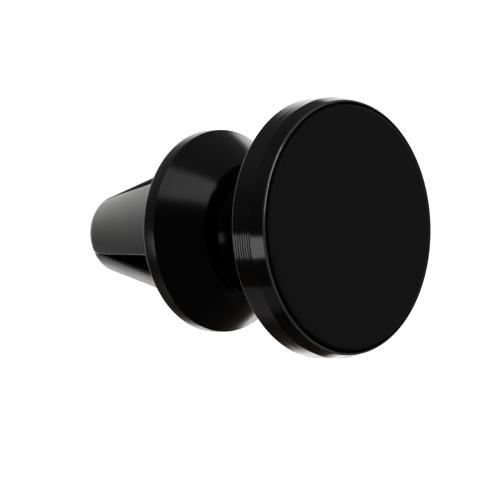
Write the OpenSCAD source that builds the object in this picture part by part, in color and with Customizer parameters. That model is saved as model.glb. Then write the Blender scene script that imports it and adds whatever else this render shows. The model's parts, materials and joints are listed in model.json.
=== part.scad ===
// Magnetic car phone mount with an air-vent clip.
// Millimetres. The common axis lies along Y: the phone face looks to -Y and the
// clip points to +Y. The origin is on that axis, in the plane of the clamping
// nut's rear face, where the clip starts. +Z is up when the mount is in use.

/* [Head] */
// Diameter of the head's outer wall
head_d = 35; // [34:0.5:40]
// Height of the head's shell, from its back to its lip
head_h = 5.3; // [5.3:0.1:7]
// How far the wall tapers in towards the face, on the radius
face_taper = 0.5; // [0.3:0.1:0.7]
// Length of the tapered part of the wall
taper_h = 2; // [1:0.1:2.4]
// Bevel at the back edge of the wall
back_bevel = 0.22; // [0.1:0.02:0.4]
// Width of the lip around the pad
lip_w = 0.3; // [0.2:0.05:0.5]
// Width of the groove between the lip and the pad
pad_gap = 0.27; // [0.2:0.01:0.5]
// Thickness of the rubber pad
pad_t = 1.3; // [1.1:0.05:1.4]
// How far the pad stands proud of the lip
pad_proud = 0.35; // [0.1:0.05:0.4]
// Radius on the pad's edge
pad_edge = 0.45; // [0.3:0.05:0.55]

/* [Magnets] */
// Diameter of one magnet
magnet_d = 8; // [6:0.5:8.5]
// Thickness of one magnet
magnet_t = 1.7; // [1.4:0.1:1.7]
// Number of magnets in the ring
magnet_n = 6; // [4:1:6]
// Radius of the ring of magnets
magnet_ring_r = 10.2; // [9.8:0.1:10.4]
// Thickness of the steel yoke plate
yoke_t = 0.8; // [0.6:0.1:0.8]

/* [Ball joint] */
// Diameter of the ball
ball_d = 15; // [14.6:0.1:15]
// Distance of the ball's centre in front of the nut's rear face
ball_y = 5.8; // [5.7:0.05:5.9]
// Diameter of the neck between the ball and the head
neck_d = 8; // [7:0.5:8]
// Diameter of the shoulder against the head
shoulder_d = 13; // [10:0.5:16]
// Radial clearance of the ball in its seat
ball_gap = 0.08; // [0.05:0.01:0.1]

/* [Clamping nut] */
// Diameter of the nut's rim
rim_d = 28; // [27.4:0.2:32]
// Length of the rim's straight wall
rim_h = 1.75; // [1.4:0.05:2]
// Overall length of the nut
nut_h = 7.6; // [7.5:0.05:7.7]
// Outer diameter at the nut's mouth
mouth_od = 18.3; // [18:0.1:18.6]
// Inner diameter at the nut's mouth
mouth_id = 14.74; // [14.72:0.01:14.8]
// Outward bulge of the cone, on the radius
cone_bulge = 0.22; // [0:0.05:0.4]
// Diameter of the thread
thread_d = 18.6; // [18.4:0.1:18.7]

/* [Clip] */
// Diameter of the clip at the nut
clip_d = 21.2; // [21:0.1:21.4]
// Diameter of the clip at its tip, before rounding
tip_d = 10.2; // [9.8:0.1:11]
// Length of the clip behind the nut
clip_len = 20.1; // [19.5:0.1:24]
// Radius on the fingers' tips
tip_r = 1.8; // [1.2:0.1:2.2]
// Width of the cross slot at the nut
slot_root = 4; // [3.4:0.1:4.2]
// Width of the cross slot at the tip
slot_tip = 0.25; // [0.2:0.05:0.5]
// Thickness of the rubber skin
skin_t = 0.8; // [0.7:0.05:0.85]

/* [Hidden] */
$fn = 96;

// Head, measured along Y from the nut's rear face
head_back = -19.85;
lip_y = head_back - head_h;
head_r = head_d / 2;
lip_r = head_r - face_taper;
cup_r = lip_r - lip_w;
pad_r = cup_r - pad_gap;
pad_face = lip_y - pad_proud;
pad_back = pad_face + pad_t;
film_t = 0.15;
film_back = pad_back + film_t;
tray_r = cup_r - 1.1;
tray_back = film_back + magnet_t + 0.1;
yoke_back = tray_back + yoke_t;
screw_r = 2;
screw_head_r = 3.2;
washer_t = 0.4;

// Ball joint
ball_r = ball_d / 2;
seat_r = ball_r + ball_gap;
neck_r = neck_d / 2;
cavity_r = ball_r + 0.12;
seat_back = 2.45;
spring_t = 0.4;
floor_y = seat_back + spring_t + 0.05;
socket_end = 4.2;

// Nut
nut_front = -nut_h;
rim_r = rim_d / 2;
rim_bevel = 0.4;
thread_r = thread_d / 2;
fit_gap = 0.06;
recess_r = 11.3;
recess_y = -2.05;
thread_front = -5.3;

// Clip
clip_r = clip_d / 2;
clip_slope = (clip_d - tip_d) / 2 / clip_len;
leaf_t = 1.4;
root_y = -0.3;
hinge_r = 9.6;
hinge_y = -1.15;
knuckle_r = 0.55;
knuckle_l = 6.8;

// Radius of the clip's outside at y
function clip_out(y) = clip_r - clip_slope * y;
// Half width of the cross slot at y
slot_y = [root_y - 1, 0, clip_len * 0.35, clip_len * 0.58, clip_len * 0.8, clip_len + 1];
slot_h = [slot_root / 2, slot_root / 2, slot_root * 0.3, slot_root * 0.1625, slot_tip / 2, slot_tip / 2];

// Turns a lathe profile (radius, y) so that its axis lies along Y
module lathe() { rotate([-90, 0, 0]) rotate_extrude() children(); }

// A plain ring or disc along Y
module ring(r_out, r_in, y0, y1) {
    lathe() polygon([[r_in, y0], [r_out, y0], [r_out, y1], [r_in, y1]]);
}

// A straight shaft or bore along Y
module rod(r, y0, y1) {
    translate([0, y0, 0]) rotate([-90, 0, 0]) cylinder(r = r, h = y1 - y0);
}

// Places children at finger number i, on a diagonal between the slots
module at_finger(i) { rotate([0, 90 * (i - 1), 0]) children(); }
module on_diagonal() { rotate([0, -45, 0]) children(); }

// ---- Head ----

// Turned aluminium cup: straight wall, tapered front, thin lip and a bored back
module head_shell() {
    color("#141416") difference() {
        lathe() polygon([
            [0, head_back], [head_r - back_bevel, head_back],
            [head_r, head_back - back_bevel], [head_r, lip_y + taper_h],
            [lip_r + 0.07, lip_y + 0.25], [lip_r - 0.17, lip_y], [cup_r, lip_y],
            [cup_r, film_back], [tray_r, film_back], [tray_r, yoke_back], [0, yoke_back]]);
        rod(screw_r + 0.15, yoke_back - 0.1, head_back + 0.1);
    }
}

// Rubber disc with a rounded edge
module front_pad() {
    color("#101011") lathe() polygon(concat(
        [[0, pad_back], [0, pad_face]],
        [for (a = [0:15:90]) [pad_r - pad_edge + pad_edge * sin(a), pad_face + pad_edge - pad_edge * cos(a)]],
        [[pad_r, pad_back]]));
}

// Film between the pad and the tray
module pad_adhesive() { color("#c8c4b8") ring(pad_r - 0.3, 0, pad_back, film_back); }

// One node with a separate solid for each magnet
module magnets() {
    color("#b9bcc0") for (i = [0:magnet_n - 1]) rotate([0, i * 360 / magnet_n, 0])
        translate([magnet_ring_r, 0, 0]) rod(magnet_d / 2, tray_back - magnet_t, tray_back);
}

// Tray with a round pocket for each magnet and a clear centre for the screw
module magnet_tray() {
    color("#2a2a2c") difference() {
        ring(tray_r - 0.05, screw_head_r + 0.4, film_back, tray_back);
        for (i = [0:magnet_n - 1]) rotate([0, i * 360 / magnet_n, 0])
            translate([magnet_ring_r, 0, 0]) rod(magnet_d / 2 + 0.05, tray_back - magnet_t - 0.01, tray_back + 0.1);
    }
}

// Steel disc that closes the magnets' field
module yoke_plate() { color("#8f9296") ring(tray_r - 0.05, screw_r + 0.15, tray_back, yoke_back); }

// Low-head socket screw into the ball stud
module head_screw() {
    color("#3a3b3d") difference() {
        union() {
            rod(screw_head_r, film_back + 0.1, tray_back - washer_t);
            rod(screw_r, tray_back - washer_t - 0.1, head_back + 5);
        }
        translate([0, film_back, 0]) rotate([-90, 0, 0]) cylinder(r = 1.44, h = 0.9, $fn = 6);
    }
}

module lock_washer() { color("#9a9da1") ring(screw_head_r + 0.1, screw_r + 0.15, tray_back - washer_t, tray_back); }

// ---- Ball joint ----

// Ball, neck and shoulder, drilled for the screw
module ball_stud() {
    color("#18181a") difference() {
        union() {
            translate([0, -ball_y, 0]) sphere(r = ball_r);
            rod(neck_r, head_back + 0.5, -ball_y);
            lathe() polygon([[0, head_back + 0.05], [shoulder_d / 2 - 0.3, head_back + 0.05],
                [shoulder_d / 2, head_back + 0.35], [shoulder_d / 2, head_back + 0.75],
                [neck_r + 0.9, head_back + 1.3], [neck_r + 0.25, head_back + 2.2], [0, head_back + 2.6]]);
        }
        rod(screw_r + 0.05, head_back - 0.1, head_back + 5.4);
    }
}

// Ring in the nut's mouth, bored to the ball
module friction_ring() {
    y0 = nut_front + 0.56;
    y1 = thread_front - 0.1;
    color("#2b2b2d") lathe() polygon(concat(
        [for (k = [0:6]) let (y = y0 + (y1 - y0) * k / 6) [sqrt(seat_r * seat_r - (y + ball_y) * (y + ball_y)), y]],
        [[thread_r - 0.1, y1], [mouth_id / 2 + 1.05, y0]]));
}

// Cup behind the ball
module ball_seat() {
    color("#e4e2da") difference() {
        rod(ball_r, -2.8, seat_back);
        translate([0, -ball_y, 0]) sphere(r = seat_r);
    }
}

// Thin washer that presses the seat forward
module seat_spring() { color("#a5a8ac") ring(ball_r - 0.3, ball_r - 1.9, seat_back + 0.02, seat_back + spring_t); }

// Threaded housing: the nut screws on its front, the finger ring sits behind it
module socket_body() {
    color("#1d1d1f") difference() {
        lathe() polygon([[0, thread_front], [thread_r - 0.3, thread_front], [thread_r, thread_front + 0.3],
            [thread_r, recess_y - 0.05], [8.75, recess_y - 0.05], [8.75, root_y - 0.1],
            [clip_out(0) - leaf_t - 0.25, 0], [clip_out(floor_y) - leaf_t - 0.25, floor_y],
            [clip_out(floor_y) - leaf_t - 1, socket_end], [0, socket_end]]);
        rod(cavity_r, thread_front - 0.1, floor_y);
    }
}

// ---- Clamping nut ----

// Points of the convex cone, from the mouth's full rounding to the rim
lip_b = 0.84;
lip_a = 1.732;
cone_a = [mouth_od / 2, nut_front + lip_b / 2];
cone_b = [rim_r - 0.28, -rim_h - rim_bevel - 0.3];
function cone_pt(t) = cone_a + t * (cone_b - cone_a) + [1, -1] * cone_bulge * sin(180 * t) * 0.7;

module cone_nut() {
    color("#121214") difference() {
        lathe() polygon(concat(
            [[mouth_id / 2 + 0.15, nut_front], [mouth_id / 2 + 0.03, nut_front + 0.15],
             [mouth_id / 2 + 0.13, nut_front + 0.5],
             [mouth_id / 2 + 1.11, nut_front + 0.5], [thread_r, thread_front - 0.05],
             [thread_r + fit_gap, thread_front], [thread_r + fit_gap, recess_y],
             [recess_r, recess_y], [recess_r, -0.25], [recess_r + 0.25, 0], [rim_r - rim_bevel, 0],
             [rim_r, -rim_bevel], [rim_r, -rim_bevel - rim_h + 0.1]],
            [for (i = [10:-1:0]) cone_pt(i / 10)],
            [for (a = [40:10:90]) cone_a + [lip_a * (cos(a) - cos(30)), lip_b * (0.5 - sin(a))]]));
    }
}

// ---- Clip ----

// Carries the four finger roots
module finger_ring() {
    color("#1a1a1c") difference() {
        ring(10.75, 8.75, recess_y + 0.15, -0.6);
        for (i = [1:4]) at_finger(i) on_diagonal() {
            translate([hinge_r, hinge_y, 0]) cylinder(r = knuckle_r + 0.05, h = knuckle_l + 0.2, center = true);
            translate([9.06, hinge_y, -1.65]) cube([0.96, 2, 3.3]);
        }
    }
}

// Space on the outer side of one slot face, set back by off
module slot_side(off) {
    n = len(slot_y) - 1;
    linear_extrude(14) polygon(concat(
        [for (k = [0:n]) [slot_h[k] + off, slot_y[k]]], [[14, slot_y[n]], [14, slot_y[0]]]));
}

// Quarter of the clip cone, set back by off from its outside, slot faces and tip
module quarter(off, y0) {
    intersection() {
        lathe() polygon(concat(
            [[0, y0], [clip_out(y0) - off, y0], [clip_out(clip_len - tip_r) - off, clip_len - tip_r - off * 0.2]],
            [for (a = [15:15:90]) [clip_out(clip_len - tip_r) - off - tip_r + tip_r * cos(a),
                                   clip_len - tip_r + (tip_r - off) * sin(a)]],
            [[0, clip_len - off]]));
        slot_side(off);
        mirror([1, 0, -1]) slot_side(off);
    }
}

// Room inside the fingers for the socket, and the relief along the axis
module finger_room() {
    lathe() polygon([[0, root_y - 1], [clip_out(root_y - 1) - leaf_t, root_y - 1],
        [clip_out(socket_end + 0.4) - leaf_t, socket_end + 0.4], [1.2, socket_end + 2.2],
        [1.2, clip_len + 1], [0, clip_len + 1]]);
}

// Neck between the finger's leaf and its hinge
module finger_neck() {
    intersection() {
        ring(clip_r - skin_t, clip_r - leaf_t, hinge_y, root_y + 0.2);
        on_diagonal() translate([5, hinge_y - 1, -1.5]) cube([8, 4, 3]);
    }
}

module finger_core(i) {
    color("#242426") at_finger(i) union() {
        difference() { quarter(skin_t, root_y); finger_room(); }
        finger_neck();
        on_diagonal() translate([hinge_r, hinge_y, 0]) cylinder(r = knuckle_r, h = knuckle_l, center = true);
    }
}

module finger_sleeve(i) {
    color("#1b1b1c") at_finger(i) difference() {
        quarter(0, root_y);
        quarter(skin_t, root_y - 0.5);
        finger_room();
    }
}

head_shell();
front_pad();
pad_adhesive();
magnets();
magnet_tray();
yoke_plate();
head_screw();
lock_washer();
ball_stud();
cone_nut();
friction_ring();
ball_seat();
seat_spring();
socket_body();
finger_ring();
finger_core(1);  // finger_core_1
finger_core(2);  // finger_core_2
finger_core(3);  // finger_core_3
finger_core(4);  // finger_core_4
finger_sleeve(1);  // finger_sleeve_1
finger_sleeve(2);  // finger_sleeve_2
finger_sleeve(3);  // finger_sleeve_3
finger_sleeve(4);  // finger_sleeve_4
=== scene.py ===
import json
import math

import bpy
import bmesh
from mathutils import Matrix, Vector


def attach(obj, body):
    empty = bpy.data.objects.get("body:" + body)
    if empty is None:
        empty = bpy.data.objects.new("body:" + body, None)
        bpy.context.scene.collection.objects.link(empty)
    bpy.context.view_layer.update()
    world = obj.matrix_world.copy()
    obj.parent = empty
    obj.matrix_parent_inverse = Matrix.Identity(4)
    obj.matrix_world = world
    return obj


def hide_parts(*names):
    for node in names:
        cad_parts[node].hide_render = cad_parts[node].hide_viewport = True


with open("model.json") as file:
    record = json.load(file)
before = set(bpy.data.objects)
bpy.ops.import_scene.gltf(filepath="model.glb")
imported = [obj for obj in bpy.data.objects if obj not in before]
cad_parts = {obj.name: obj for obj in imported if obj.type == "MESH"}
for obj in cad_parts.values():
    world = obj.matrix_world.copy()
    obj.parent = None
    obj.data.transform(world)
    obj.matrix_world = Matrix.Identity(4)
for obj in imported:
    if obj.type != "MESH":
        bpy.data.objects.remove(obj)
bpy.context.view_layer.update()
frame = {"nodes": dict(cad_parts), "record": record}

MM = 0.001

# ------------------------------------------------------------------ sizes, mm
# The common axis is Y: the phone face looks to -Y, the clip points to +Y.
HEAD_BACK, LIP_Y, HEAD_R, LIP_R, CUP_R = -19.85, -25.15, 17.5, 17.0, 16.7
PAD_FACE, PAD_BACK, PAD_R = -25.50, -24.20, 16.43
FILM_BACK, TRAY_R, YOKE_BACK = -24.05, 15.6, -21.45
BALL_Y, BALL_R, NECK_R = -5.8, 7.5, 4.0
NUT_FRONT, RIM_R = -7.6, 14.0
CLIP_R, CLIP_LEN, TIP_D, TIP_R = 10.6, 20.1, 10.2, 2.2
SLOPE = (2 * CLIP_R - TIP_D) / 2 / CLIP_LEN


# ------------------------------------------------------------------ mesh tools
def new_object(name, bm, smooth_angle=32):
    bmesh.ops.recalc_face_normals(bm, faces=bm.faces)
    me = bpy.data.meshes.new(name)
    bm.to_mesh(me)
    bm.free()
    for p in me.polygons:
        p.use_smooth = True
    me.set_sharp_from_angle(angle=math.radians(smooth_angle))
    ob = bpy.data.objects.new(name, me)
    bpy.context.scene.collection.objects.link(ob)
    return ob


def lathe_bm(prof, segs=256, loop=False):
    """Turns a profile of (radius, y) in mm about the Y axis."""
    bm = bmesh.new()
    rings = []
    for r, y in prof:
        if r < 1e-6:
            rings.append([bm.verts.new((0, y * MM, 0))])
        else:
            rings.append([bm.verts.new((r * MM * math.cos(2 * math.pi * k / segs), y * MM,
                                        r * MM * math.sin(2 * math.pi * k / segs))) for k in range(segs)])
    pairs = list(zip(rings[:-1], rings[1:]))
    if loop:
        pairs.append((rings[-1], rings[0]))
    for a, b in pairs:
        for k in range(segs):
            n = (k + 1) % segs
            if len(a) == 1 and len(b) == 1:
                continue
            if len(a) == 1:
                bm.faces.new((a[0], b[k], b[n]))
            elif len(b) == 1:
                bm.faces.new((a[k], b[0], a[n]))
            else:
                bm.faces.new((a[k], b[k], b[n], a[n]))
    return bm


def lathe(name, prof, segs=256, loop=False, angle=32):
    return new_object(name, lathe_bm(prof, segs, loop), angle)


def fillet(p0, p1, p2, rad, n=6):
    """Points of an arc of radius rad that rounds the corner p1."""
    a, b, c = Vector(p0), Vector(p1), Vector(p2)
    u, v = (a - b).normalized(), (c - b).normalized()
    half = math.acos(max(-1, min(1, u.dot(v)))) / 2
    d = rad / math.tan(half)
    t0, t1 = b + u * d, b + v * d
    cen = b + (u + v).normalized() * (rad / math.sin(half))
    a0 = math.atan2(t0.y - cen.y, t0.x - cen.x)
    a1 = math.atan2(t1.y - cen.y, t1.x - cen.x)
    da = (a1 - a0 + math.pi) % (2 * math.pi) - math.pi
    return [(cen.x + rad * math.cos(a0 + da * k / n), cen.y + rad * math.sin(a0 + da * k / n)) for k in range(n + 1)]


def rounded(points, radii, n=6):
    """An open profile whose inner corners are rounded; a radius of 0 keeps a corner sharp."""
    out = [points[0]]
    for k in range(1, len(points) - 1):
        out += fillet(points[k - 1], points[k], points[k + 1], radii[k], n) if radii[k] else [points[k]]
    return out + [points[-1]]


def grooved(y0, y1, r0, r1, pitch, amp, per=10):
    """Points along a turned wall from (r0, y0) to (r1, y1) with fine tool marks."""
    n = max(2, int(round(abs(y1 - y0) / pitch))) * per
    ln = math.hypot(y1 - y0, r1 - r0)
    nx, ny = abs(y1 - y0) / ln, (r0 - r1) / ln * (1 if y1 > y0 else -1)
    out = []
    for k in range(n + 1):
        t = k / n
        ph = 2 * math.pi * t * n / per
        env = min(1, 8 * t, 8 * (1 - t))
        d = -amp * env * (0.5 - 0.5 * math.cos(ph)) * (0.75 + 0.25 * math.sin(ph * 0.37 + 1.3))
        out.append((r0 + (r1 - r0) * t + d * nx, y0 + (y1 - y0) * t + d * ny))
    return out


# ------------------------------------------------------------------ node tools
class Tree:
    """Small helper that makes shader nodes and links them."""

    def __init__(self, tree):
        self.t = tree
        tree.nodes.clear()

    def node(self, kind, ins=None, **props):
        n = self.t.nodes.new(kind)
        for k, v in props.items():
            setattr(n, k, v)
        for k, v in (ins or {}).items():
            if isinstance(v, bpy.types.NodeSocket):
                self.t.links.new(v, n.inputs[k])
            else:
                n.inputs[k].default_value = v
        return n

    def math(self, op, a, b=0.0, c=0.0, clamp=False):
        return self.node("ShaderNodeMath", {0: a, 1: b, 2: c}, operation=op, use_clamp=clamp).outputs[0]

    def vec(self, op, a, b=(0, 0, 0), out=0):
        return self.node("ShaderNodeVectorMath", {0: a, 1: b}, operation=op).outputs[out]

    def dot(self, a, b):
        return self.node("ShaderNodeVectorMath", {0: a, 1: b}, operation="DOT_PRODUCT").outputs["Value"]

    def ramp(self, x, a, b, lo=0.0, hi=1.0, smooth=True):
        return self.node("ShaderNodeMapRange", {0: x, 1: a, 2: b, 3: lo, 4: hi},
                         interpolation_type="SMOOTHSTEP" if smooth else "LINEAR").outputs[0]


def turned_vector(t, fine, around):
    """Texture vector whose fine detail runs round the Y axis, as on a turned surface."""
    obj = t.node("ShaderNodeTexCoord").outputs["Object"]
    sep = t.node("ShaderNodeSeparateXYZ", {0: obj})
    x, y, z = sep.outputs
    r = t.math("SQRT", t.math("ADD", t.math("MULTIPLY", x, x), t.math("MULTIPLY", z, z)))
    rr = t.math("MAXIMUM", r, 1e-5)
    cx, cz = t.math("DIVIDE", x, rr), t.math("DIVIDE", z, rr)
    vec = t.node("ShaderNodeCombineXYZ", {0: t.math("MULTIPLY", r, fine), 1: t.math("MULTIPLY", y, fine),
                                          2: t.math("MULTIPLY", cx, around)}).outputs[0]
    return obj, vec, t.math("MULTIPLY", cz, around)


def anodised(name, base, rough, line_bump=0.05, line_scale=9000, vary=0.06, tint=(1, 1, 1),
             spec=0.5, rough_past=None, painted_lip_highlight=None, dull_lip=None):
    """Black anodised aluminium: turned lines round the axis, a little cloudiness and tiny dust, with an optional
    satin band, a less shiny lip and a painted highlight along the front corner.
    """
    m = bpy.data.materials.new(name)
    m.use_nodes = True
    t = Tree(m.node_tree)
    obj, vec, w = turned_vector(t, line_scale, 1.6)
    lines = t.node("ShaderNodeTexNoise", {"Vector": vec, "W": w, "Scale": 1.0, "Detail": 3.0, "Roughness": 0.6},
                   noise_dimensions="4D").outputs[0]
    cloud = t.node("ShaderNodeTexNoise", {"Vector": obj, "Scale": 260.0, "Detail": 4.0, "Roughness": 0.55}).outputs[0]
    pit = t.node("ShaderNodeTexNoise", {"Vector": obj, "Scale": 9000.0, "Detail": 2.0}).outputs[0]
    dust = t.node("ShaderNodeTexVoronoi", {"Vector": obj, "Scale": 900.0, "Randomness": 1.0}).outputs["Distance"]
    speck = t.ramp(dust, 0.03, 0.07, 1.0, 0.0)
    # colour: deep black with a faint cloud and rare specks
    mix = t.node("ShaderNodeMix", {}, data_type="RGBA")
    mix.inputs[6].default_value = (*[c * 0.85 for c in base], 1)
    mix.inputs[7].default_value = (*[c * 1.25 * k for c, k in zip(base, tint)], 1)
    t.t.links.new(t.ramp(cloud, 0.35, 0.7), mix.inputs[0])
    rr = t.math("ADD", t.math("MULTIPLY", t.math("SUBTRACT", lines, 0.5), vary),
                t.math("ADD", t.math("MULTIPLY", t.math("SUBTRACT", cloud, 0.5), vary), rough))
    rr = t.math("ADD", rr, t.math("MULTIPLY", speck, 0.12), clamp=True)
    ox, oy, oz = t.node("ShaderNodeSeparateXYZ", {0: obj}).outputs
    rad = t.math("SQRT", t.math("ADD", t.math("MULTIPLY", ox, ox), t.math("MULTIPLY", oz, oz)))
    if rough_past:
        # a satin band outside radius r0 and behind y0
        r0, y0, more = rough_past
        band = t.math("MULTIPLY", t.ramp(rad, r0, r0 + 1e-4), t.ramp(oy, y0, y0 + 1e-4))
        rr = t.math("ADD", rr, t.math("MULTIPLY", band, more), clamp=True)
    hgt = t.math("ADD", lines, t.math("MULTIPLY", pit, 0.25))
    bump = t.node("ShaderNodeBump", {"Strength": line_bump, "Distance": 2e-5, "Height": hgt})
    p = t.node("ShaderNodeBsdfPrincipled", {"Base Color": mix.outputs[2], "Roughness": rr, "Normal": bump.outputs[0]})
    p.inputs["IOR"].default_value = 1.5
    p.inputs["Specular IOR Level"].default_value = spec
    if dull_lip:
        # left matt inside radius r0 and in front of y0
        r0, y0 = dull_lip
        dull = t.math("MULTIPLY", t.ramp(rad, r0, r0 - 2e-4), t.ramp(oy, y0 + 2e-4, y0))
        t.t.links.new(t.math("SUBTRACT", spec, t.math("MULTIPLY", dull, spec * 0.85)), p.inputs["Specular IOR Level"])
    if painted_lip_highlight:
        # painted highlight: the front corner, outside radius r0 and in front of y0, turns pale grey and partly
        # metallic to draw a bright line along the lip
        r0, y0, amount = painted_lip_highlight
        lip_highlight_mask = t.math("MULTIPLY", t.ramp(rad, r0, r0 + 8e-5), t.ramp(oy, y0, y0 - 1.2e-4))
        lip_highlight_mask = t.math("MULTIPLY", lip_highlight_mask, t.ramp(cloud, 0.2, 0.5, amount * 0.8, amount))
        edge = t.node("ShaderNodeMix", {}, data_type="RGBA")
        t.t.links.new(lip_highlight_mask, edge.inputs[0])
        t.t.links.new(mix.outputs[2], edge.inputs[6])
        edge.inputs[7].default_value = (0.55, 0.55, 0.54, 1)
        t.t.links.new(edge.outputs[2], p.inputs["Base Color"])
        t.t.links.new(lip_highlight_mask, p.inputs["Metallic"])
    t.node("ShaderNodeOutputMaterial", {"Surface": p.outputs[0]})
    return m


def moulded(name, base, rough, grain=0.08, grain_scale=9000, mottle=0.25, ior=1.45, sheen=0.0, cloud_scale=180.0, spec=0.5):
    """Rubber or moulded plastic: fine grain, faint mottling, rare dust."""
    m = bpy.data.materials.new(name)
    m.use_nodes = True
    t = Tree(m.node_tree)
    obj = t.node("ShaderNodeTexCoord").outputs["Object"]
    cloud = t.node("ShaderNodeTexNoise", {"Vector": obj, "Scale": cloud_scale, "Detail": 5.0, "Roughness": 0.6}).outputs[0]
    fine = t.node("ShaderNodeTexNoise", {"Vector": obj, "Scale": grain_scale, "Detail": 3.0, "Roughness": 0.65}).outputs[0]
    cell = t.node("ShaderNodeTexVoronoi", {"Vector": obj, "Scale": grain_scale * 0.45}).outputs["Distance"]
    dust = t.node("ShaderNodeTexVoronoi", {"Vector": obj, "Scale": 700.0}).outputs["Distance"]
    speck = t.ramp(dust, 0.035, 0.075, 1.0, 0.0)
    mix = t.node("ShaderNodeMix", {}, data_type="RGBA")
    mix.inputs[6].default_value = (*[c * (1 - mottle) for c in base], 1)
    mix.inputs[7].default_value = (*[c * (1 + mottle) for c in base], 1)
    t.t.links.new(t.ramp(t.math("ADD", t.math("MULTIPLY", cloud, 0.6), t.math("MULTIPLY", fine, 0.4)), 0.3, 0.7), mix.inputs[0])
    dusted = t.node("ShaderNodeMix", {}, data_type="RGBA")
    t.t.links.new(t.math("MULTIPLY", speck, 0.35), dusted.inputs[0])
    t.t.links.new(mix.outputs[2], dusted.inputs[6])
    dusted.inputs[7].default_value = (*[min(1, c * 2.5 + 0.004) for c in base], 1)
    rr = t.math("ADD", t.math("MULTIPLY", t.math("SUBTRACT", cloud, 0.5), 0.12),
                t.math("ADD", t.math("MULTIPLY", t.math("SUBTRACT", fine, 0.5), 0.12), rough), clamp=True)
    hgt = t.math("ADD", t.math("MULTIPLY", fine, 0.7), t.math("MULTIPLY", cell, 0.5))
    bump = t.node("ShaderNodeBump", {"Strength": grain, "Distance": 3e-5, "Height": hgt})
    p = t.node("ShaderNodeBsdfPrincipled", {"Base Color": dusted.outputs[2], "Roughness": rr, "Normal": bump.outputs[0]})
    p.inputs["IOR"].default_value = ior
    p.inputs["Specular IOR Level"].default_value = spec
    p.inputs["Sheen Weight"].default_value = sheen
    t.node("ShaderNodeOutputMaterial", {"Surface": p.outputs[0]})
    return m


def plated(name, base, rough, metallic=1.0, scale=6000, turned=True):
    """Plated or polished steel with fine drawn lines and a slight tarnish."""
    m = bpy.data.materials.new(name)
    m.use_nodes = True
    t = Tree(m.node_tree)
    obj, vec, w = turned_vector(t, scale, 1.5)
    lines = t.node("ShaderNodeTexNoise", {"Vector": vec if turned else obj, "W": w, "Scale": 1.0 if turned else scale,
                                          "Detail": 3.0}, noise_dimensions="4D").outputs[0]
    cloud = t.node("ShaderNodeTexNoise", {"Vector": obj, "Scale": 320.0, "Detail": 4.0}).outputs[0]
    mix = t.node("ShaderNodeMix", {}, data_type="RGBA")
    mix.inputs[6].default_value = (*[c * 0.8 for c in base], 1)
    mix.inputs[7].default_value = (*[min(1, c * 1.1) for c in base], 1)
    t.t.links.new(t.ramp(cloud, 0.3, 0.7), mix.inputs[0])
    rr = t.math("ADD", t.math("MULTIPLY", t.math("SUBTRACT", lines, 0.5), 0.2), rough, clamp=True)
    bump = t.node("ShaderNodeBump", {"Strength": 0.06, "Distance": 2e-5, "Height": lines})
    p = t.node("ShaderNodeBsdfPrincipled", {"Base Color": mix.outputs[2], "Roughness": rr, "Normal": bump.outputs[0]})
    p.inputs["Metallic"].default_value = metallic
    t.node("ShaderNodeOutputMaterial", {"Surface": p.outputs[0]})
    return m


M = {
    # the head's front lip corner carries a painted highlight line
    "anodised_head": anodised("anodised_head", (0.0014, 0.0014, 0.0017), 0.10, line_bump=0.06, vary=0.03,
                              painted_lip_highlight=(0.01674, -0.02490, 0.12)),
    "anodised_nut": anodised("anodised_nut", (0.0010, 0.0010, 0.0014), 0.17, line_bump=0.04, line_scale=14000,
                             rough_past=(0.01385, -0.0023, 0.09),
                             dull_lip=(0.00945, -0.0072)),
    # painted shade: the ball's black is set darker and less shiny than the head's, standing in for the shade inside
    # the nut, on top of its own black finish
    "anodised_ball": anodised("anodised_ball", (0.0005, 0.0005, 0.0006), 0.20, line_bump=0.05, spec=0.12),
    "pad_rubber": moulded("pad_rubber", (0.0061, 0.0061, 0.0063), 0.62, grain=0.12, grain_scale=14000, mottle=0.12,
                          spec=0.08),
    "adhesive_film": moulded("adhesive_film", (0.62, 0.60, 0.54), 0.5, grain=0.03),
    "magnet_nickel": plated("magnet_nickel", (0.62, 0.61, 0.60), 0.16, turned=False),
    "tray_plastic": moulded("tray_plastic", (0.03, 0.03, 0.032), 0.5),
    "zinc_steel": plated("zinc_steel", (0.52, 0.53, 0.55), 0.32),
    "spring_steel": plated("spring_steel", (0.45, 0.46, 0.48), 0.22),
    "screw_steel": plated("screw_steel", (0.03, 0.03, 0.033), 0.34),
    "seat_plastic": moulded("seat_plastic", (0.70, 0.69, 0.65), 0.4, grain=0.03, mottle=0.05),
    "socket_plastic": moulded("socket_plastic", (0.006, 0.006, 0.0066), 0.46),
    "finger_nylon": moulded("finger_nylon", (0.008, 0.008, 0.0088), 0.5),
    "finger_silicone": moulded("finger_silicone", (0.0085, 0.0085, 0.0086), 0.30, grain=0.05, grain_scale=7000,
                               mottle=0.15, ior=1.5),
}
SLOT = {s["node"]: s["material_slot"] for s in frame["record"]["subparts"]}
for n, o in frame["nodes"].items():
    o.data.materials.clear()
    o.data.materials.append(M[SLOT[n]])
    for p in o.data.polygons:
        p.material_index = 0


def piece(ob, body, nodes, slot):
    ob.data.materials.clear()
    ob.data.materials.append(M[slot])
    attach(ob, body)
    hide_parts(*nodes)
    return ob


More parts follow.
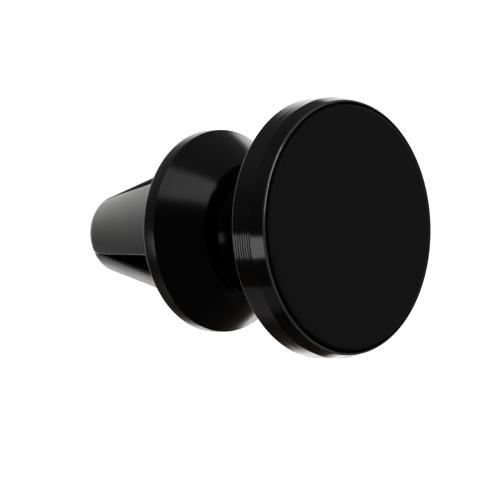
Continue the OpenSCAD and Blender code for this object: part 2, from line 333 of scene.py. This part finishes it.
# ------------------------------------------------------------------ head shell
def head_shell():
    back = HEAD_BACK
    p = [(2.15, back)]
    p += [(6.2, back)]
    # faced back with very fine tool marks
    n = 26
    for k in range(n * 8 + 1):
        t = k / (n * 8)
        r = 6.9 + (17.1 - 6.9) * t
        env = min(1, 10 * t, 10 * (1 - t))
        p.append((r, back - 0.0022 * env * (0.5 - 0.5 * math.cos(2 * math.pi * n * t))))
    p += fillet((16.5, back), (17.5, back), (17.5, back - 1), 0.24, 9)
    p += grooved(back - 0.26, -23.06, HEAD_R, HEAD_R, 0.41, 0.0125, 14)
    p += fillet((17.5, -23.0), (17.5, -23.15), (17.0, -25.15), 0.10, 3)[1:]
    p += grooved(-23.20, -24.90, 17.487, 17.066, 0.17, 0.0007, 8)
    p += fillet((17.25, -24.15), (17.0, -25.15), (16.0, -25.15), 0.28, 10)
    p += fillet((16.9, -25.15), (16.70, -25.15), (16.70, -24.5), 0.05, 3)
    p += [(16.70, FILM_BACK), (TRAY_R, FILM_BACK), (TRAY_R, YOKE_BACK), (2.15, YOKE_BACK)]
    return lathe("head_shell_turned", p, 360, loop=True, angle=28)


piece(head_shell(), "head", ["head_shell"], "anodised_head")


# ------------------------------------------------------------------ pad
def front_pad():
    f = PAD_FACE
    p = [(0, f)]
    for r in (4, 8, 11, 13.5, 15.0):
        p.append((r, f))
    p += fillet((15.2, f), (PAD_R, f), (PAD_R, f + 1), 0.45, 10)
    p += fillet((PAD_R, f + 0.8), (PAD_R, PAD_BACK), (PAD_R - 0.5, PAD_BACK), 0.06, 2)
    p += [(0, PAD_BACK)]
    return lathe("front_pad_rubber", p, 256, angle=40)


piece(front_pad(), "head", ["front_pad"], "pad_rubber")


# ------------------------------------------------------------------ ball and neck
def ball_stud():
    p = [(0, BALL_Y + BALL_R)]
    a_neck = math.asin((NECK_R + 0.35) / BALL_R)
    n = 56
    for k in range(1, n + 1):
        a = (math.pi - a_neck) * k / n
        p.append((BALL_R * math.sin(a), BALL_Y + BALL_R * math.cos(a)))
    y_n = p[-1][1]
    p += fillet(p[-1], (NECK_R, y_n - 0.25), (NECK_R, y_n - 3), 0.3, 5)
    p += grooved(y_n - 0.9, -17.7, NECK_R, NECK_R, 0.3, 0.002, 8)
    s = HEAD_BACK + 0.05
    p += [(NECK_R + 0.08, -17.6), (NECK_R + 0.25, -17.72), (NECK_R + 0.42, -18.0), (NECK_R + 0.9, -18.55)]
    p += [(5.6, -18.85), (6.1, -19.0), (6.42, -19.1), (6.5, -19.2), (6.5, -19.5), (6.42, -19.62), (6.2, s)]
    p += [(2.05, s), (2.05, HEAD_BACK + 5.4), (0, HEAD_BACK + 5.4)]
    return lathe("ball_stud_turned", p, 160, angle=30)


piece(ball_stud(), "stud", ["ball_stud"], "anodised_ball")


# ------------------------------------------------------------------ clamping nut
def cone_nut():
    a = (9.15, NUT_FRONT + 0.42)
    b = (RIM_R - 0.28, -2.45)
    cone = []
    n = 48
    for k in range(n + 1):
        t = k / n
        d = 0.22 * math.sin(math.pi * t) * 0.7
        cone.append((a[0] + (b[0] - a[0]) * t + d, a[1] + (b[1] - a[1]) * t - d))
    p = [(7.5, NUT_FRONT + 0.5), (7.4, NUT_FRONT + 0.17)]
    p += [(7.41, NUT_FRONT + 0.10), (7.45, NUT_FRONT + 0.04), (7.52, NUT_FRONT + 0.008)]
    for k in range(16):
        g = math.radians(90 - 4 * k)
        p.append((a[0] + 1.732 * (math.cos(g) - math.cos(math.pi / 6)), a[1] + 0.84 * (0.5 - math.sin(g))))
    p += cone
    p += rounded([b, (RIM_R, -2.12), (RIM_R, 0), (11.4, 0), (11.3, -0.25)],
                 [0, 0.16, 0.42, 0.08, 0], 8)[1:]
    p += [(11.3, -2.05), (9.36, -2.05), (9.36, -5.3), (9.3, -5.35), (8.48, NUT_FRONT + 0.5)]
    return lathe("cone_nut_turned", p, 320, loop=True, angle=28)


piece(cone_nut(), "nut", ["cone_nut"], "anodised_nut")


# ------------------------------------------------------------------ clip fingers
def slot_half(y):
    ys = [-1.3, 0, CLIP_LEN * 0.35, CLIP_LEN * 0.58, CLIP_LEN * 0.8, CLIP_LEN + 1]
    hs = [2.0, 2.0, 1.2, 0.65, 0.125, 0.125]
    for k in range(5):
        if y <= ys[k + 1]:
            return hs[k] + (hs[k + 1] - hs[k]) * (y - ys[k]) / (ys[k + 1] - ys[k])
    return hs[-1]


def slot_smooth(y, w=1.2):
    return sum(slot_half(y + w * (k / 4 - 1)) for k in range(9)) / 9


def room_r(y):
    """Inner radius of a finger: a thin leaf beside the socket, then nearly to the axis."""
    leaf = CLIP_R - SLOPE * y - 1.4
    if y < 4.6:
        return leaf
    if y < 6.4:
        t = (y - 4.6) / 1.8
        return (CLIP_R - SLOPE * 4.6 - 1.4) * (1 - t) + 1.2 * t
    return 1.2


def section(R, ri, h, c, n_side=8, n_cor=5, n_arc=22, n_in=8):
    """Closed outline of one finger across the axis, with rounded corners, in the +X +Z quarter."""
    pts = []
    ci = min(0.25, (R - ri) * 0.2)
    zc = math.sqrt(max((R - c) ** 2 - (h + c) ** 2, 1e-6))
    zi = math.sqrt(max((ri + ci) ** 2 - (h + ci) ** 2, (h + ci) ** 2 if ri < 2 else 1e-6))
    # slot face on the X side, from the inside out
    for k in range(n_side):
        pts.append((h, zi + (zc - zi) * k / n_side))
    # outer corner
    a1 = math.atan2(zc, h + c)
    for k in range(n_cor):
        g = math.pi + (a1 - math.pi) * k / n_cor
        pts.append((h + c + c * math.cos(g), zc + c * math.sin(g)))
    # outer arc
    a2 = math.pi / 2 - a1
    for k in range(n_arc + 1):
        g = a1 + (a2 - a1) * k / n_arc
        pts.append((R * math.cos(g), R * math.sin(g)))
    half = list(pts)
    # mirror of the corner and slot face
    mir = [(z, x) for x, z in reversed(half[:n_side + n_cor])]
    pts += mir
    # inner corner and arc
    b1 = math.atan2(h + ci, zi)
    rr = max(ri, 0.02)
    for k in range(n_in + 1):
        g = b1 + (math.pi / 2 - 2 * b1) * k / n_in
        rad = rr if ri > (h + ci) * 1.42 else math.hypot(h + ci, zi) - ci
        pts.append((rad * math.cos(g), rad * math.sin(g)))
    return pts


def finger_mesh(name, off=0.0, y0=-0.3, y1=None, corner=0.34):
    """Skin (off 0) or core (off 0.8) of one finger, lofted along Y."""
    bm = bmesh.new()
    end = CLIP_LEN - off if y1 is None else y1
    # the rounding starts tangent to the cone
    g0 = math.atan(SLOPE)
    y1 = end - TIP_R * (1 - math.sin(g0))
    ys = [y0 + (y1 - y0) * k / 44 for k in range(45)]
    st = [(y, 0.0) for y in ys]
    for k in range(1, 17):
        g = g0 + (math.pi / 2 - g0) * k / 16
        st.append((y1 + TIP_R * (math.sin(g) - math.sin(g0)), TIP_R * (math.cos(g0) - math.cos(g))))
    loops = []
    for y, e in st:
        yy = min(y, y1)
        R = CLIP_R - SLOPE * yy - off - e
        h = slot_smooth(y) + off + e * 0.22
        ri = room_r(y) + (e * 0.3)
        if off:
            ri = max(ri, 0.1)
        ri = max(ri, (h + 0.25) * 1.0)
        c = min(corner * min(1, max(0.35, 1 - (y - 9) / 12)), (R - ri) * 0.4)
        loops.append([bm.verts.new((x * MM, y * MM, z * MM)) for x, z in section(R, ri, h, c)])
    n = len(loops[0])
    for a, b in zip(loops[:-1], loops[1:]):
        for k in range(n):
            m = (k + 1) % n
            bm.faces.new((a[k], b[k], b[m], a[m]))
    bm.faces.new(loops[0])
    bm.faces.new(list(reversed(loops[-1])))
    return new_object(name, bm, 40)


def turn(ob, deg):
    ob.data.transform(Matrix.Rotation(math.radians(deg), 4, "Y"))
    ob.data.update()


for i in (1, 2, 3, 4):
    skin = finger_mesh("finger_skin_%d" % i)
    turn(skin, 90 * (i - 1))
    piece(skin, "finger_%d" % i, ["finger_sleeve_%d" % i], "finger_silicone")

# ------------------------------------------------------------------ camera
RIGHT = Vector((0.57766837, -0.73283253, -0.35952153))
UP = Vector((0.51449715, -0.01505206, 0.85735997))
FWD = Vector((0.63371282, 0.68024254, -0.36834515))
CAM = Vector((-262.5525, -287.2133, 149.4504)) * MM
cam_data = bpy.data.cameras.new("camera")
cam_data.sensor_fit = "HORIZONTAL"
cam_data.sensor_width = 36
cam_data.lens = 216
cam_data.clip_start, cam_data.clip_end = 0.01, 100
cam = bpy.data.objects.new("camera", cam_data)
bpy.context.scene.collection.objects.link(cam)
cam.matrix_world = Matrix(((RIGHT.x, UP.x, -FWD.x, CAM.x), (RIGHT.y, UP.y, -FWD.y, CAM.y),
                           (RIGHT.z, UP.z, -FWD.z, CAM.z), (0, 0, 0, 1)))
bpy.context.scene.camera = cam

# ------------------------------------------------------------------ studio
sc = bpy.context.scene
sc.view_settings.view_transform = "Standard"
sc.view_settings.look = "None"
world = bpy.data.worlds.new("studio")
sc.world = world
world.use_nodes = True
w = Tree(world.node_tree)
N = w.vec("NORMALIZE", w.node("ShaderNodeTexCoord").outputs["Generated"])
DOWN = -UP
sx, sy, sz = w.dot(N, tuple(RIGHT)), w.dot(N, tuple(DOWN)), w.dot(N, tuple(FWD))


def studio_vec(x, y, z):
    return (RIGHT * x + DOWN * y + FWD * z).normalized()


def sky(az, down):
    """A direction in the studio: az turns from the left towards the viewer, down is below the horizontal."""
    a, d = math.radians(az), math.radians(down)
    return studio_vec(-math.cos(a) * math.cos(d), math.sin(d), -math.sin(a) * math.cos(d))


def quad(corners, strength, soft=(0.012, 0.012, 0.012, 0.012)):
    """A light at infinity with four straight edges, each as soft as stated."""
    c = [sky(*k) for k in corners]
    mid = sum(c, Vector((0, 0, 0))).normalized()
    m = None
    for k in range(4):
        n = c[k].cross(c[(k + 1) % 4]).normalized()
        if n.dot(mid) < 0:
            n = -n
        e = w.ramp(w.dot(N, tuple(n)), -soft[k], soft[k])
        m = e if m is None else w.math("MULTIPLY", m, e)
    return w.math("MULTIPLY", m, strength)


def add(*terms):
    out = terms[0]
    for t in terms[1:]:
        out = w.math("ADD", out, t)
    return out


# white wall behind, between a dark ceiling and a dark brown table
edge = w.math("ADD", w.math("MULTIPLY", w.math("MAXIMUM", sy, 0.0), 0.70), 0.45)
wall = w.math("MULTIPLY", w.ramp(w.math("SUBTRACT", sz, edge), -0.17, 0.15), w.ramp(sy, 0.0, -0.35, 1.05, 1.6))
glow = w.math("ADD", w.ramp(sy, -0.35, 0.0, 0.0, 0.1), w.ramp(sy, 0.28, 0.38, 0.0, 1.2))
wall = w.math("ADD", wall, w.math("MULTIPLY", w.ramp(sz, 0.77, 0.89), glow))
wall = w.math("MULTIPLY", wall, w.ramp(sy, 0.42, 0.60, 1.0, 0.0))
wall = w.math("MULTIPLY", wall, w.ramp(sy, -0.62, -0.48, 0.0, 1.0))
ceiling = w.ramp(sy, -0.25, -0.75, 0.0, 0.10)
side = w.math("MULTIPLY", w.ramp(sx, -0.45, -0.95, 0.0, 0.05), w.ramp(sy, 0.15, -0.2))
light_a = quad([(3.5, 4.0), (46, 7.5), (46, 22.3), (3.5, 19.7)], 2.2)
light_c = quad([(76, -32), (112, -28.5), (131, -50), (87, -61)], 0.85, (0.035, 0.05, 0.05, 0.02))
light_b = quad([(-9.5, 36.4), (24, 44.8), (8, 61), (-42, 47.5)], 0.36, (0.02, 0.06, 0.10, 0.10))
light_d = quad([(166, 30), (192, 26), (200, 48), (168, 54)], 0.38, (0.05, 0.05, 0.05, 0.05))
light_e = quad([(122, -6.5), (152, -6.5), (152, -27), (127, -47)], 6.5, (0.03, 0.03, 0.03, 0.03))
white = add(w.math("ADD", wall, 0.028), ceiling, side, light_a, light_b, light_c, light_d, light_e)
table = w.math("MULTIPLY", w.ramp(sy, 0.30, 0.62), w.ramp(sz, 0.05, 0.5, 0.15, 1.0))
table = w.math("MULTIPLY", table, w.ramp(sy, 0.45, 0.75, 0.30, 0.05))
gold = quad([(-92.0, 30.2), (-97.5, 31.2), (-97.0, 33.2), (-91.5, 32.8)], 0.9, (0.010, 0.012, 0.010, 0.012))


def tinted(colour, amount):
    n = w.node("ShaderNodeVectorMath", {0: colour}, operation="SCALE")
    w.t.links.new(amount, n.inputs["Scale"])
    return n.outputs[0]


light = w.vec("ADD", w.vec("ADD", tinted((1.0, 0.995, 0.985), white), tinted((0.46, 0.27, 0.18), table)),
              tinted((1.0, 0.90, 0.62), gold))
bg = w.node("ShaderNodeBackground", {"Color": light})
w.node("ShaderNodeOutputWorld", {"Surface": bg.outputs[0]})


def stage_mat(name, glow):
    m = bpy.data.materials.new(name)
    m.use_nodes = True
    t = Tree(m.node_tree)
    p = t.node("ShaderNodeBsdfPrincipled", {})
    p.inputs["Base Color"].default_value = (0.86, 0.86, 0.86, 1)
    p.inputs["Roughness"].default_value = 0.9
    p.inputs["Emission Color"].default_value = (1, 1, 1, 1)
    p.inputs["Emission Strength"].default_value = glow
    t.node("ShaderNodeOutputMaterial", {"Surface": p.outputs[0]})
    return m


bm = bmesh.new()
bmesh.ops.create_grid(bm, x_segments=1, y_segments=1, size=2.2)
me = bpy.data.meshes.new("floor")
bm.to_mesh(me)
bm.free()
floor = bpy.data.objects.new("floor", me)
sc.collection.objects.link(floor)
floor.location = (0, 0, -0.12)
me.materials.append(stage_mat("floor_pale", 0.85))
floor.visible_glossy = False
floor.visible_shadow = False
floor.visible_diffuse = False

bm = bmesh.new()
bmesh.ops.create_icosphere(bm, subdivisions=4, radius=2.3)
me = bpy.data.meshes.new("backdrop")
bm.to_mesh(me)
bm.free()
dome = bpy.data.objects.new("backdrop", me)
sc.collection.objects.link(dome)
me.materials.append(stage_mat("backdrop_pale", 0.95))
dome.visible_glossy = False
dome.visible_shadow = False
dome.visible_diffuse = False
dome.visible_transmission = False
